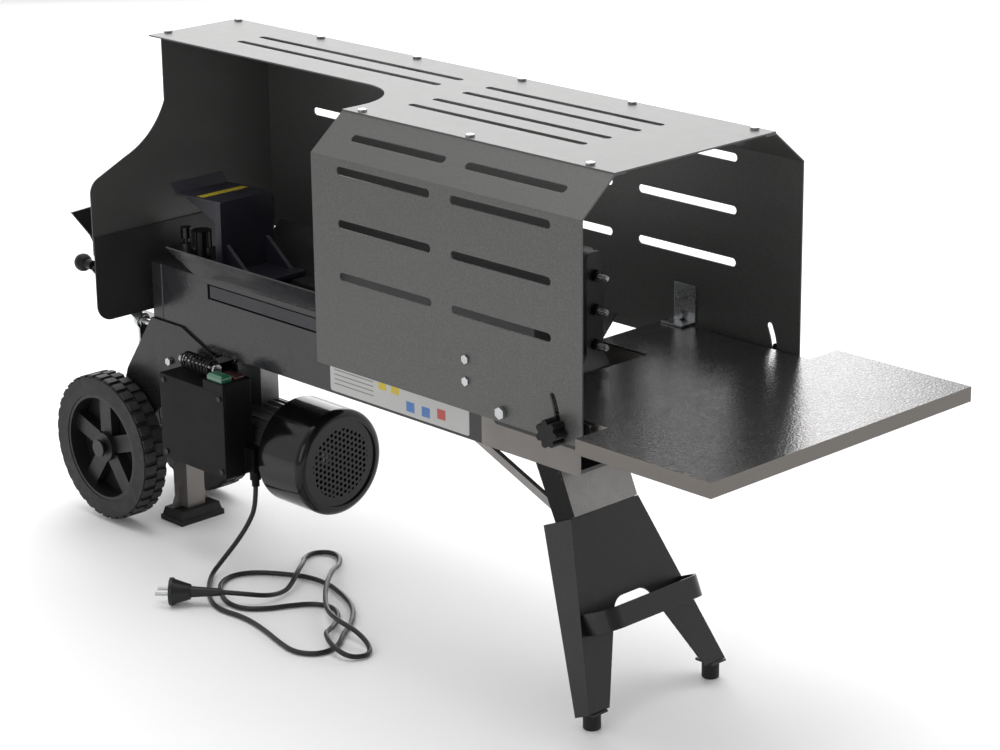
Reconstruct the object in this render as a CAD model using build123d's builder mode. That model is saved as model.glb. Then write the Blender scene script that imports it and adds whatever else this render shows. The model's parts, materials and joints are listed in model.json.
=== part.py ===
from build123d import *
import math
import os

os.makedirs("parts", exist_ok=True)

# Electric log splitter. Millimetres, +Z up, +X from the wheels towards the outfeed table.
# The origin is on the ground, under the middle of the machine's box.

# beam and trough
beam_left = -500.0
beam_right = 336.0
beam_half = 57.0
beam_bottom = 302.0
beam_top = 410.0
beam_wall = 5.0
top_plate = 8.0
side_top = 380.0
slot_left = -396.0
slot_right = 296.0
keel_slot_half = 18.0
end_block = 27.0
trough_left = -425.0
trough_right = 250.0
trough_sheet = 2.0
trough_half = 105.0
trough_rise = 49.0

# cylinder, ram and pusher
cylinder_z = 341.0
cylinder_outer = 32.0
cylinder_bore = 27.5
stroke = 350.0
piston_length = 22.0
gland_length = 30.0
rod_radius = 16.0
slide_fit = 0.06
pusher_face = -372.0
pusher_plate = 14.0
foot_left = -390.0
foot_right = -300.0
foot_sheet = 6.0
pusher_half = 47.0
pusher_top = 522.0
tray_left = -483.0
tray_sheet = 2.5
carriage_bottom = 382.0
carriage_top = 400.0
crosshead_length = 26.0
carriage_left = -392.0
keel_half = 14.0
keel_left = -388.0
keel_length = 56.0
keel_clear = 4.0

# wedge and table
wedge_tip = 205.0
wedge_back = 300.0
wedge_half = 12.0
wedge_top = 575.0
wedge_plate = 12.0
table_top_z = 438.0
table_sheet = 2.5
table_depth = 19.0
table_inner_left = 264.0
table_inner_half = 180.0
table_left = 508.0
table_right = 718.0
table_half = 234.0
table_notch_right = 350.0
table_notch_half = 55.0

# guard
guard_left = -552.0
guard_right = 481.0
guard_sheet = 2.0
guard_top_z = 731.0
guard_fold_half = 141.0
guard_half = 195.0
guard_chamfer_z = 685.0
guard_bottom = 409.0
guard_lap = 19.0
front_panel_left = 5.0
narrow_edge = -21.0
notch_radius = 88.0
slot_width = 11.0
slot_length = 170.0
slot_rows = (533.0, 601.5, 670.0)
end_panel_bottom = 429.0
hand_guard_bottom = 330.0
pivot_x = 347.0
pivot_z = 422.0
pivot_radius = 4.0
knob_x = 441.0
knob_z = 422.0
knob_radius = 18.0
guard_tilt = 25.0
bracket_face = 186.0
running = 0.08
apart = 0.4

# front leg
leg_top_x = 334.0
leg_top_z = 232.0
leg_foot_x = 424.0
leg_foot_z = 25.0
leg_top_half = 61.0
leg_foot_half = 126.0
leg_sheet = 3.0
leg_flange_top = 54.0
leg_flange_foot = 27.0
leg_lip = 12.0
foot_x = 415.0
foot_y = 110.0
foot_radius = 11.5
foot_height = 23.0

# wheels and rear foot
axle_x = -608.0
wheel_radius = 110.0
wheel_lift = 6.0
wheel_inner = 65.0
wheel_width = 40.0
rim_radius = 81.0
axle_radius = 8.0
rear_foot_x = -535.0

# motor, pump and controls
motor_z = 172.0
motor_left = -405.0
motor_right = -266.0
motor_radius = 54.0
fin_height = 4.0
cowl_radius = 77.0
cowl_right = -182.0
shaft_radius = 9.0
gear_teeth = 12
gear_pitch = 15.0
gear_root = 12.0
gear_tip = 16.6
gear_root_half = 1.7
gear_tip_half = 0.7
gear_width = 18.0
box_left = -446.0
box_right = -302.0
box_front = -111.0
box_back = -61.0
box_bottom = 146.0
box_top = 272.0
box_wall = 3.0
lever_x = -572.0
lever_sheet = 4.0
lever_pivot_y = -44.0
lever_pivot_z = 308.0
spool_x = -547.0
spool_z = 272.0
cord_radius = 3.5


def block(x0, x1, y0, y1, z0, z1, mode=Mode.ADD):
    """A box between two corners."""
    with Locations(((x0 + x1) / 2, (y0 + y1) / 2, (z0 + z1) / 2)):
        Box(x1 - x0, y1 - y0, z1 - z0, mode=mode)


def at_x(x):
    """A plane across the machine: its x is Y, its y is Z."""
    return Plane.YZ.offset(x)


def at_y(y):
    """A plane along the machine: its x is X, its y is Z. It extrudes towards -Y."""
    return Plane.XZ.offset(-y)


def bar_x(x0, x1, y, z, radius, mode=Mode.ADD):
    """A round bar along X."""
    with BuildSketch(at_x(x0)) as outline:
        with Locations((y, z)):
            Circle(radius)
    extrude(outline.sketch, amount=x1 - x0, mode=mode)


def bar_y(y0, y1, x, z, radius, mode=Mode.ADD):
    """A round bar along Y."""
    with BuildSketch(at_y(y0)) as outline:
        with Locations((x, z)):
            Circle(radius)
    extrude(outline.sketch, amount=-(y1 - y0), mode=mode)


def bar_z(z0, z1, x, y, radius, mode=Mode.ADD):
    """A round bar along Z."""
    with BuildSketch(Plane.XY.offset(z0)) as outline:
        with Locations((x, y)):
            Circle(radius)
    extrude(outline.sketch, amount=z1 - z0, mode=mode)


def plate_xz(points, y0, y1, mode=Mode.ADD):
    """A flat plate in the XZ plane, between two Y values."""
    with BuildSketch(at_y(y0)) as outline:
        with BuildLine():
            Polyline(*points, close=True)
        make_face()
    extrude(outline.sketch, amount=-(y1 - y0), mode=mode)


def plate_yz(points, x0, x1, mode=Mode.ADD):
    """A flat plate in the YZ plane, between two X values."""
    with BuildSketch(at_x(x0)) as outline:
        with BuildLine():
            Polyline(*points, close=True)
        make_face()
    extrude(outline.sketch, amount=x1 - x0, mode=mode)


def sheet_inner(points, thickness):
    """The other face of a folded sheet, with mitred folds, on the left of its path."""
    path = [Vector(*point) for point in points]
    steps = [(b - a).normalized() for a, b in zip(path, path[1:])]
    befores = [steps[0]] + steps
    afters = steps + [steps[-1]]
    inner = []
    for point, before, after in zip(path, befores, afters):
        left = Vector(-before.Y, before.X) + Vector(-after.Y, after.X)
        shift = left * (thickness / (1 + before.dot(after)))
        inner.append((point.X + shift.X, point.Y + shift.Y))
    return inner


def hex_head(plane, radius, height):
    """A hexagon bolt head standing on a plane."""
    with BuildSketch(plane) as outline:
        RegularPolygon(radius, 6)
    extrude(outline.sketch, amount=height)


# ---------------------------------------------------------------- beam

tube_right = beam_left + 4 + piston_length + stroke + gland_length
gland_left = tube_right - gland_length
tank_plate = 6.0
with BuildPart() as beam_channel:
    block(beam_left, beam_right, -beam_half, beam_half, beam_bottom, beam_top - top_plate)
    block(beam_left, beam_right, -beam_half + beam_wall, beam_half - beam_wall,
          beam_bottom + beam_wall, beam_top, mode=Mode.SUBTRACT)
    block(slot_left, slot_right, -beam_half, beam_half, side_top, beam_top, mode=Mode.SUBTRACT)
    block(tube_right - 14, tube_right - 14 + tank_plate, -beam_half + beam_wall,
          beam_half - beam_wall, beam_bottom + beam_wall, side_top - 4)
    block(slot_left, tube_right - 8, -beam_half + beam_wall, beam_half - beam_wall,
          side_top - 4, side_top)
    bar_x(tube_right - 14, tube_right - 8, 0, cylinder_z, cylinder_outer,
          mode=Mode.SUBTRACT)
beam_channel.part.label = "beam_channel"
export_step(beam_channel.part, "parts/beam_channel.step")

oil_cap_x = -478.0
oil_neck = 9.0
keel_slot_left = keel_left - keel_clear
keel_slot_right = keel_left + keel_length + stroke + keel_clear
with BuildPart() as beam_top_plate:
    block(beam_left, beam_right, -beam_half, beam_half, beam_top - top_plate, beam_top)
    block(keel_slot_left, keel_slot_right, -keel_slot_half, keel_slot_half,
          beam_top - top_plate, beam_top, mode=Mode.SUBTRACT)
    bar_z(beam_top - top_plate, beam_top, oil_cap_x, 0, oil_neck, mode=Mode.SUBTRACT)
beam_top_plate.part.label = "beam_top_plate"
export_step(beam_top_plate.part, "parts/beam_top_plate.step")

bleed_x = beam_left - end_block / 2
with BuildPart() as cylinder_end_block:
    block(beam_left - end_block, beam_left, -beam_half, beam_half, beam_bottom, beam_top)
    fillet(cylinder_end_block.edges().filter_by(Axis.Z), 4)
    bar_z(beam_top, beam_top + 18, bleed_x, 0, 9)
cylinder_end_block.part.label = "cylinder_end_block"
export_step(cylinder_end_block.part, "parts/cylinder_end_block.step")

flare_top = beam_top + trough_rise
trough_profile = [
    (-trough_half, flare_top), (-beam_half, beam_top), (beam_half, beam_top),
    (trough_half, flare_top)]
with BuildPart() as log_trough:
    plate_yz(trough_profile + sheet_inner(trough_profile, trough_sheet)[::-1],
             trough_left, trough_right)
    block(trough_left, keel_slot_right, -keel_slot_half, keel_slot_half,
          beam_top, beam_top + trough_sheet, mode=Mode.SUBTRACT)
log_trough.part.label = "log_trough"
export_step(log_trough.part, "parts/log_trough.step")

label_sheet = 0.4
with BuildPart() as side_label:
    with BuildSketch(at_y(-beam_half)):
        with Locations((4, 328)):
            RectangleRounded(274, 44, 4)
    extrude(amount=label_sheet)
side_label.part.label = "side_label"
export_step(side_label.part, "parts/side_label.step")

# ---------------------------------------------------------------- cylinder and ram

with BuildPart() as cylinder_tube:
    bar_x(beam_left, tube_right, 0, cylinder_z, cylinder_outer)
    bar_x(beam_left, tube_right, 0, cylinder_z, cylinder_bore, mode=Mode.SUBTRACT)
cylinder_tube.part.label = "cylinder_tube"
export_step(cylinder_tube.part, "parts/cylinder_tube.step")

with BuildPart() as cylinder_gland:
    bar_x(gland_left, tube_right, 0, cylinder_z, cylinder_bore)
    bar_x(tube_right, tube_right + 3, 0, cylinder_z, cylinder_outer)
    bar_x(gland_left, tube_right + 3, 0, cylinder_z, rod_radius + slide_fit,
          mode=Mode.SUBTRACT)
cylinder_gland.part.label = "cylinder_gland"
export_step(cylinder_gland.part, "parts/cylinder_gland.step")

piston_left = beam_left + 3
with BuildPart() as piston:
    bar_x(piston_left, piston_left + piston_length, 0, cylinder_z, cylinder_bore - slide_fit)
    for groove in (6, 14):
        bar_x(piston_left + groove, piston_left + groove + 3, 0, cylinder_z,
              cylinder_bore + 1, mode=Mode.SUBTRACT)
        bar_x(piston_left + groove, piston_left + groove + 3, 0, cylinder_z,
              cylinder_bore - 4)
    bar_x(piston_left + 3, piston_left + piston_length, 0, cylinder_z, rod_radius - 6,
          mode=Mode.SUBTRACT)
piston.part.label = "piston"
export_step(piston.part, "parts/piston.step")

crosshead_left = tube_right + 8
crosshead_right = crosshead_left + crosshead_length
with BuildPart() as piston_rod:
    bar_x(piston_left + 3, piston_left + piston_length, 0, cylinder_z, rod_radius - 6)
    bar_x(piston_left + piston_length, crosshead_left, 0, cylinder_z, rod_radius)
    bar_x(crosshead_left, crosshead_right, 0, cylinder_z, rod_radius - 4)
piston_rod.part.label = "piston_rod"
export_step(piston_rod.part, "parts/piston_rod.step")

with BuildPart() as ram_carriage:
    block(carriage_left, crosshead_right, -beam_half + 1, beam_half - 1,
          carriage_bottom, carriage_top)
    block(crosshead_left, crosshead_right, -24, 24, cylinder_z - 22, carriage_bottom)
    bar_x(crosshead_left, crosshead_right, 0, cylinder_z, rod_radius - 4,
          mode=Mode.SUBTRACT)
    block(keel_left + keel_length + 10, crosshead_left - 20, -30, 30,
          carriage_bottom, carriage_top, mode=Mode.SUBTRACT)
ram_carriage.part.label = "ram_carriage"
export_step(ram_carriage.part, "parts/ram_carriage.step")

pusher_clear = 1.5
foot_bottom = beam_top + trough_sheet + pusher_clear
with BuildPart() as pusher_head:
    block(keel_left, keel_left + keel_length, -keel_half, keel_half,
          carriage_top, foot_bottom + 2)
    block(foot_left, foot_right, -pusher_half + 2, pusher_half - 2,
          foot_bottom, foot_bottom + foot_sheet)
    with BuildSketch(at_x(pusher_face - pusher_plate)):
        with Locations((0, (foot_bottom + pusher_top) / 2)):
            RectangleRounded(2 * pusher_half, pusher_top - foot_bottom, 3)
    extrude(amount=pusher_plate)
    for side in (-1, 1):
        plate_xz([(pusher_face, foot_bottom + foot_sheet),
                  (foot_right - 20, foot_bottom + foot_sheet),
                  (pusher_face, foot_bottom + 46)],
                 side * 36 - 3, side * 36 + 3)
pusher_head.part.label = "pusher_head"
export_step(pusher_head.part, "parts/pusher_head.step")

tray_back = pusher_face - pusher_plate
tray_profile = [
    (tray_back - 0.15, pusher_top), (tray_left + 12, pusher_top - 4), (tray_left, pusher_top + 10)]
with BuildPart() as pusher_tray:
    plate_xz(tray_profile + sheet_inner(tray_profile, tray_sheet)[::-1],
             -pusher_half, pusher_half)
    for side in (-1, 1):
        plate_xz([(tray_back, pusher_top - 1.5), (tray_left + 22, pusher_top - 5),
                  (tray_back, pusher_top - 36)],
                 side * 40 - 2, side * 40 + 2)
pusher_tray.part.label = "pusher_tray"
export_step(pusher_tray.part, "parts/pusher_tray.step")

# ---------------------------------------------------------------- wedge

wedge_foot = beam_top
edge_half = 1.0
with BuildPart() as splitting_wedge:
    with BuildSketch(Plane.XY.offset(wedge_foot)):
        with BuildLine():
            Polyline((wedge_tip, -edge_half), (wedge_tip + 42, -wedge_half),
                     (wedge_back, -wedge_half), (wedge_back, wedge_half),
                     (wedge_tip + 42, wedge_half), (wedge_tip, edge_half), close=True)
        make_face()
    extrude(amount=wedge_top - wedge_foot)
    block(wedge_tip - 1, trough_right, -wedge_half, wedge_half, wedge_foot,
          wedge_foot + trough_sheet, mode=Mode.SUBTRACT)
    plate_xz([(wedge_tip - 1, wedge_top + 1), (wedge_tip - 1, wedge_top - 26),
              (wedge_tip + 34, wedge_top + 1)], -wedge_half - 1, wedge_half + 1,
             mode=Mode.SUBTRACT)
splitting_wedge.part.label = "splitting_wedge"
export_step(splitting_wedge.part, "parts/splitting_wedge.step")

back_half = 15.0
bolt_heights = (455.0, 501.0, 545.0)
wedge_bolt_radius = 4.0
with BuildPart() as wedge_back_plate:
    with BuildSketch(at_x(wedge_back)):
        with Locations((0, (beam_top + wedge_top) / 2)):
            Rectangle(2 * back_half, wedge_top - beam_top)
    extrude(amount=wedge_plate)
    fillet(wedge_back_plate.edges().filter_by(Axis.X).group_by(Axis.Z)[-1], 9)
    for side in (-1, 1):
        plate_yz([(side * back_half, beam_top), (side * (back_half + 20), beam_top),
                  (side * back_half, beam_top + 34)], wedge_back, wedge_back + wedge_plate)
    for height in bolt_heights:
        bar_x(wedge_back, wedge_back + wedge_plate, 0, height, wedge_bolt_radius,
              mode=Mode.SUBTRACT)
wedge_back_plate.part.label = "wedge_back_plate"
export_step(wedge_back_plate.part, "parts/wedge_back_plate.step")

# ---------------------------------------------------------------- table and guard brackets

with BuildPart() as outfeed_table:
    table_outline = [
        (table_inner_left, -table_inner_half), (table_left, -table_inner_half),
        (table_left, -table_half), (table_right, -table_half),
        (table_right, table_half), (table_left, table_half),
        (table_left, table_inner_half), (table_inner_left, table_inner_half)]
    with BuildSketch(Plane.XY.offset(table_top_z - table_depth)):
        with BuildLine():
            Polyline(*table_outline, close=True)
        make_face()
    extrude(amount=table_depth)
    with BuildSketch(Plane.XY.offset(table_top_z - table_depth)):
        with BuildLine():
            Polyline(*table_outline, close=True)
        make_face()
        offset(amount=-table_sheet, kind=Kind.INTERSECTION, mode=Mode.REPLACE)
    extrude(amount=table_depth - table_sheet, mode=Mode.SUBTRACT)
    block(table_inner_left, table_notch_right, -table_notch_half, table_notch_half,
          table_top_z - table_depth, table_top_z, mode=Mode.SUBTRACT)
    block(table_inner_left, table_inner_left + table_sheet, -table_notch_half - 8,
          table_notch_half + 8, table_top_z - table_depth, table_top_z - table_sheet,
          mode=Mode.SUBTRACT)
outfeed_table.part.label = "outfeed_table"
export_step(outfeed_table.part, "parts/outfeed_table.step")

side_plate = 4.0
side_plate_left = 168.0
side_plate_right = 343.0
with BuildPart() as side_plates:
    for side in (-1, 1):
        near, far = sorted((side * beam_half, side * (beam_half + side_plate)))
        plate_xz([(side_plate_left, beam_bottom + 1),
                  (side_plate_right, beam_bottom + 1),
                  (side_plate_right, table_top_z - table_sheet),
                  (trough_right + 2, table_top_z - table_sheet),
                  (trough_right + 2, beam_top - 1), (side_plate_left, beam_top - 1)],
                 near, far)
side_plates.part.label = "side_plates"
export_step(side_plates.part, "parts/side_plates.step")

rail_left = 424.0
with BuildPart() as table_frame:
    block(rail_left, rail_left + 30, -table_inner_half, table_inner_half,
          table_top_z - table_sheet - 4, table_top_z - table_sheet)
    block(rail_left, rail_left + 4, -table_inner_half, table_inner_half,
          table_top_z - 34, table_top_z - table_sheet - 4)
    block(rail_left - 1, rail_left + 31, -table_inner_half, -table_inner_half + table_sheet,
          table_top_z - table_depth, table_top_z, mode=Mode.SUBTRACT)
    block(rail_left - 1, rail_left + 31, table_inner_half - table_sheet, table_inner_half,
          table_top_z - table_depth, table_top_z, mode=Mode.SUBTRACT)
    for side in (-1, 1):
        block(side_plate_right - 20, rail_left, side * 70 - 2, side * 70 + 2,
              table_top_z - 34, table_top_z - table_sheet)
        near, far = sorted((side * (beam_half + side_plate), side * 72))
        block(side_plate_right - 20, side_plate_right - 16, near, far,
              table_top_z - 34, table_top_z - table_sheet)
    for side in (-1, 1):
        near, far = sorted((side * table_inner_half, side * bracket_face))
        with BuildSketch(at_y(near)):
            with Locations((404, 418)):
                RectangleRounded(164, 36, 6)
        extrude(amount=-(far - near))
        bar_y(near, far, pivot_x, pivot_z, pivot_radius, mode=Mode.SUBTRACT)
        bar_y(near, far, knob_x, knob_z, pivot_radius, mode=Mode.SUBTRACT)
table_frame.part.label = "table_frame"
export_step(table_frame.part, "parts/table_frame.step")

panel_inner = guard_half - guard_sheet
panel_outer = guard_half + apart
block_left = beam_left - end_block
pivot_end = lever_x - 8
with BuildPart() as pivot_pins:
    for side in (-1, 1):
        for x, z, reach in ((pivot_x, pivot_z, panel_outer), (knob_x, knob_z, panel_outer + 14)):
            near, far = sorted((side * table_inner_half, side * reach))
            bar_y(near, far, x, z, pivot_radius)
            near, far = sorted((side * bracket_face, side * (panel_inner - apart)))
            bar_y(near, far, x, z, pivot_radius + 4)
        hex_head(Plane(origin=(pivot_x, side * panel_outer, pivot_z), z_dir=(0, side, 0)),
                 8, 6)
    bar_x(pivot_end, block_left, lever_pivot_y, lever_pivot_z, 5)
    bar_x(pivot_end, lever_x - 1, lever_pivot_y, lever_pivot_z, 9)
    bar_x(lever_x + lever_sheet + 1, lever_x + lever_sheet + 5, lever_pivot_y,
          lever_pivot_z, 9)
pivot_pins.part.label = "pivot_pins"
export_step(pivot_pins.part, "parts/pivot_pins.step")

knob_washer = 2.0
knob_height = 18.0


def star_knob(side):
    """A clamp knob with seven lobes and its washer, turning on the stud."""
    face = panel_outer + knob_washer
    near, far = sorted((side * face, side * (face + knob_height)))
    with BuildSketch(at_y(near)) as outline:
        with Locations((knob_x, knob_z)):
            Circle(knob_radius - 5)
            with PolarLocations(knob_radius - 5, 7):
                Circle(4.6)
    extrude(outline.sketch, amount=-(far - near))
    near, far = sorted((side * panel_outer, side * face))
    bar_y(near, far, knob_x, knob_z, 12)
    near, far = sorted((side * panel_outer, side * (panel_outer + 14 + running)))
    bar_y(near, far, knob_x, knob_z, pivot_radius + slide_fit, mode=Mode.SUBTRACT)


with BuildPart() as clamp_knob_front:
    star_knob(-1)
clamp_knob_front.part.label = "clamp_knob_front"
export_step(clamp_knob_front.part, "parts/clamp_knob_front.step")

with BuildPart() as clamp_knob_rear:
    star_knob(1)
clamp_knob_rear.part.label = "clamp_knob_rear"
export_step(clamp_knob_rear.part, "parts/clamp_knob_rear.step")

# ---------------------------------------------------------------- guard

lap_z = guard_top_z - guard_sheet
chamfer_mid = ((guard_fold_half + guard_half) / 2, (lap_z + guard_chamfer_z) / 2)
chamfer_run = Vector(guard_half - guard_fold_half, lap_z - guard_chamfer_z).normalized()


def slot_row(plane, lefts, length, heights):
    """Rows of long slots cut through a sheet, on a plane whose x runs along the machine."""
    with BuildSketch(plane) as outline:
        for left in lefts:
            for height in heights:
                with Locations((left + length / 2, height)):
                    SlotOverall(length, slot_width)
    extrude(outline.sketch, amount=guard_sheet * 2, both=True, mode=Mode.SUBTRACT)


def side_panel(side, left, lefts):
    """One side of the guard: wall, chamfer and the lap under the top sheet."""
    profile = [(-guard_fold_half + guard_lap, lap_z), (-guard_fold_half, lap_z),
               (-guard_half, guard_chamfer_z), (-guard_half, guard_bottom)]
    outline = profile + sheet_inner(profile, guard_sheet)[::-1]
    plate_yz([(-side * y, z) for y, z in outline], left, guard_right)
    slot_row(at_y(side * (guard_half - guard_sheet / 2)), lefts, slot_length, slot_rows)
    chamfer = Plane(origin=(0, side * chamfer_mid[0], chamfer_mid[1]), x_dir=(1, 0, 0),
                    z_dir=(0, side * chamfer_run.Y, chamfer_run.X))
    slot_row(chamfer, lefts, slot_length, (0,))
    near, far = sorted((side * panel_inner, side * guard_half))
    bar_y(near, far, pivot_x, pivot_z, pivot_radius + slide_fit, mode=Mode.SUBTRACT)
    reach = math.hypot(knob_x - pivot_x, knob_z - pivot_z)
    start = math.degrees(math.atan2(knob_z - pivot_z, knob_x - pivot_x))
    with BuildSketch(at_y(near)) as arc_slot:
        with BuildLine() as arc_line:
            CenterArc((pivot_x, pivot_z), reach, start - 0.4, guard_tilt + 0.8)
        SlotArc(arc_line.edge(), 2 * (pivot_radius + apart + 0.1))
    extrude(arc_slot.sketch, amount=-(far - near), mode=Mode.SUBTRACT)


front_slots = (54.0, 260.0)
rear_slots = (203.0, -14.0, -231.0, -448.0)
with BuildPart() as guard_front_panel:
    side_panel(-1, front_panel_left, front_slots)
guard_front_panel.part.label = "guard_front_panel"
export_step(guard_front_panel.part, "parts/guard_front_panel.step")

with BuildPart() as guard_rear_panel:
    side_panel(1, guard_left + guard_sheet, rear_slots)
guard_rear_panel.part.label = "guard_rear_panel"
export_step(guard_rear_panel.part, "parts/guard_rear_panel.step")

rear_screws = (-538.0, -354.0, -153.0, 51.0, 250.0, 455.0)
front_screws = (33.0, 230.0, 433.0)
screw_y = guard_fold_half - guard_lap / 2
corner_screw = (-545.0, 9.0)
wide_slots = (-64.0, -22.0, 30.0, 71.0)
narrow_slots = (39.0, 79.0)
with BuildPart() as guard_top_sheet:
    with BuildSketch(Plane.XY.offset(lap_z)):
        with BuildLine():
            Polyline((guard_left, narrow_edge), (front_panel_left - notch_radius, narrow_edge))
            RadiusArc((front_panel_left - notch_radius, narrow_edge),
                      (front_panel_left, narrow_edge - notch_radius), notch_radius)
            Polyline((front_panel_left, narrow_edge - notch_radius),
                     (front_panel_left, -guard_fold_half), (guard_right, -guard_fold_half),
                     (guard_right, guard_fold_half), (guard_left, guard_fold_half),
                     (guard_left, narrow_edge))
        make_face()
    extrude(amount=guard_sheet)
    slot_row(Plane.XY.offset(lap_z), (47.0,), 313.0, wide_slots)
    slot_row(Plane.XY.offset(lap_z), (-423.0,), 415.0, narrow_slots)
guard_top_sheet.part.label = "guard_top_sheet"
export_step(guard_top_sheet.part, "parts/guard_top_sheet.step")

hand_guard_front = -138.0
stop_sheet = 2.5
window_edge = 0.0
with BuildPart() as guard_end_panel:
    with BuildSketch(at_x(guard_left)):
        with BuildLine():
            Polyline((window_edge, lap_z), (window_edge, 633))
            ThreePointArc((window_edge, 633), (-27, 593), (-72, 564))
            Polyline((-72, 564), (-122, 541))
            ThreePointArc((-122, 541), (-132, 534), (hand_guard_front, 520))
            Polyline((hand_guard_front, 520), (hand_guard_front, end_panel_bottom),
                     (guard_half, end_panel_bottom), (guard_half, guard_chamfer_z),
                     (guard_fold_half, lap_z), (window_edge, lap_z))
        make_face()
    extrude(amount=guard_sheet)
    block(guard_left + guard_sheet, guard_left + 16, window_edge, guard_fold_half - guard_lap,
          lap_z - guard_sheet, lap_z)
guard_end_panel.part.label = "guard_end_panel"
export_step(guard_end_panel.part, "parts/guard_end_panel.step")

hand_guard_left = guard_left + guard_sheet
with BuildPart() as hand_guard:
    with BuildSketch(at_x(hand_guard_left)):
        with BuildLine():
            Polyline((hand_guard_front, 456), (hand_guard_front, hand_guard_bottom + 24))
            RadiusArc((hand_guard_front, hand_guard_bottom + 24),
                      (hand_guard_front + 24, hand_guard_bottom), -24)
            Polyline((hand_guard_front + 24, hand_guard_bottom),
                     (panel_inner, hand_guard_bottom), (panel_inner, 456),
                     (hand_guard_front, 456))
        make_face()
    extrude(amount=guard_sheet)
hand_guard.part.label = "hand_guard"
export_step(hand_guard.part, "parts/hand_guard.step")

with BuildPart() as guard_screws:
    spots = [(x, screw_y) for x in rear_screws] + [(x, -screw_y) for x in front_screws]
    for x, y in spots + [corner_screw]:
        hex_head(Plane.XY.offset(guard_top_z).shift_origin((x, y, guard_top_z)),
                 6, 3)
    for y, z in ((-96, 442), (40, 442), (150, 442)):
        hex_head(Plane(origin=(guard_left, y, z), z_dir=(-1, 0, 0)), 6, 3)
    for side in (-1, 1):
        for height in (447, 475):
            hex_head(Plane(origin=(284, side * guard_half, height), z_dir=(0, side, 0)),
                     6, 3)
            hex_head(Plane(origin=(284, side * (panel_inner - stop_sheet), height),
                           z_dir=(0, -side, 0)), 6, 5)
guard_screws.part.label = "guard_screws"
export_step(guard_screws.part, "parts/guard_screws.step")

stop_left = 270.0
stop_right = 307.0
stop_foot = table_top_z + 0.5
with BuildPart() as guard_stops:
    for side in (-1, 1):
        near, far = sorted((side * (panel_inner - stop_sheet), side * panel_inner))
        block(stop_left, stop_right, near, far, stop_foot, stop_foot + 50)
        near, far = sorted((side * 165, side * (panel_inner - stop_sheet)))
        block(stop_left, stop_right, near, far, stop_foot, stop_foot + stop_sheet)
guard_stops.part.label = "guard_stops"
export_step(guard_stops.part, "parts/guard_stops.step")

# ---------------------------------------------------------------- front leg

leg_run = Vector(leg_foot_x - leg_top_x, 0, leg_foot_z - leg_top_z)
leg_length = leg_run.length
leg_down = leg_run.normalized()
leg_out = Vector(-leg_down.Z, 0, leg_down.X)
leg_plane = Plane(origin=(leg_top_x, 0, leg_top_z), x_dir=(0, 1, 0), z_dir=leg_out)
arch_top = 100.0
arch_half = 28.0
arch_corner = 22.0
arch_foot_half = 90.0


def leg_spot(down, out):
    """The X and Z of a point down the leg and out from its face."""
    spot = leg_plane.origin + leg_down * down + leg_out * out
    return spot.X, spot.Z


with BuildPart() as leg_plate:
    with BuildSketch(leg_plane):
        with BuildLine():
            Polyline((-leg_top_half, leg_lip), (leg_top_half, leg_lip),
                     (leg_foot_half, -leg_length), (-leg_foot_half, -leg_length), close=True)
        make_face()
    extrude(amount=-leg_flange_top)
    with BuildSketch(leg_plane.offset(-leg_sheet)):
        with BuildLine():
            Polyline((-leg_top_half + leg_sheet, leg_lip + 1),
                     (leg_top_half - leg_sheet, leg_lip + 1),
                     (leg_foot_half - leg_sheet, -leg_length - 1),
                     (-leg_foot_half + leg_sheet, -leg_length - 1), close=True)
        make_face()
    extrude(amount=-leg_flange_top, mode=Mode.SUBTRACT)
    plate_xz([leg_spot(-leg_lip - 1, 1), leg_spot(leg_length + 1, 1),
              leg_spot(leg_length + 1, -leg_flange_foot), leg_spot(-leg_lip - 1, -leg_flange_top)],
             -leg_foot_half, leg_foot_half, mode=Mode.INTERSECT)
    with BuildSketch(leg_plane):
        with BuildLine():
            Polyline((-arch_half, -arch_top), (arch_half, -arch_top),
                     (arch_foot_half, -leg_length - 1), (-arch_foot_half, -leg_length - 1),
                     close=True)
        make_face()
        fillet(vertices().group_by(Axis.Y)[-1], arch_corner)
    extrude(amount=-leg_flange_top - 1, mode=Mode.SUBTRACT)
    for side in (-1, 1):
        near, far = sorted((side * 97, side * (leg_foot_half - leg_sheet)))
        block(foot_x - 17, foot_x + 13, near, far, foot_height, foot_height + leg_sheet)
leg_plate.part.label = "leg_plate"
export_step(leg_plate.part, "parts/leg_plate.step")

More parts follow.
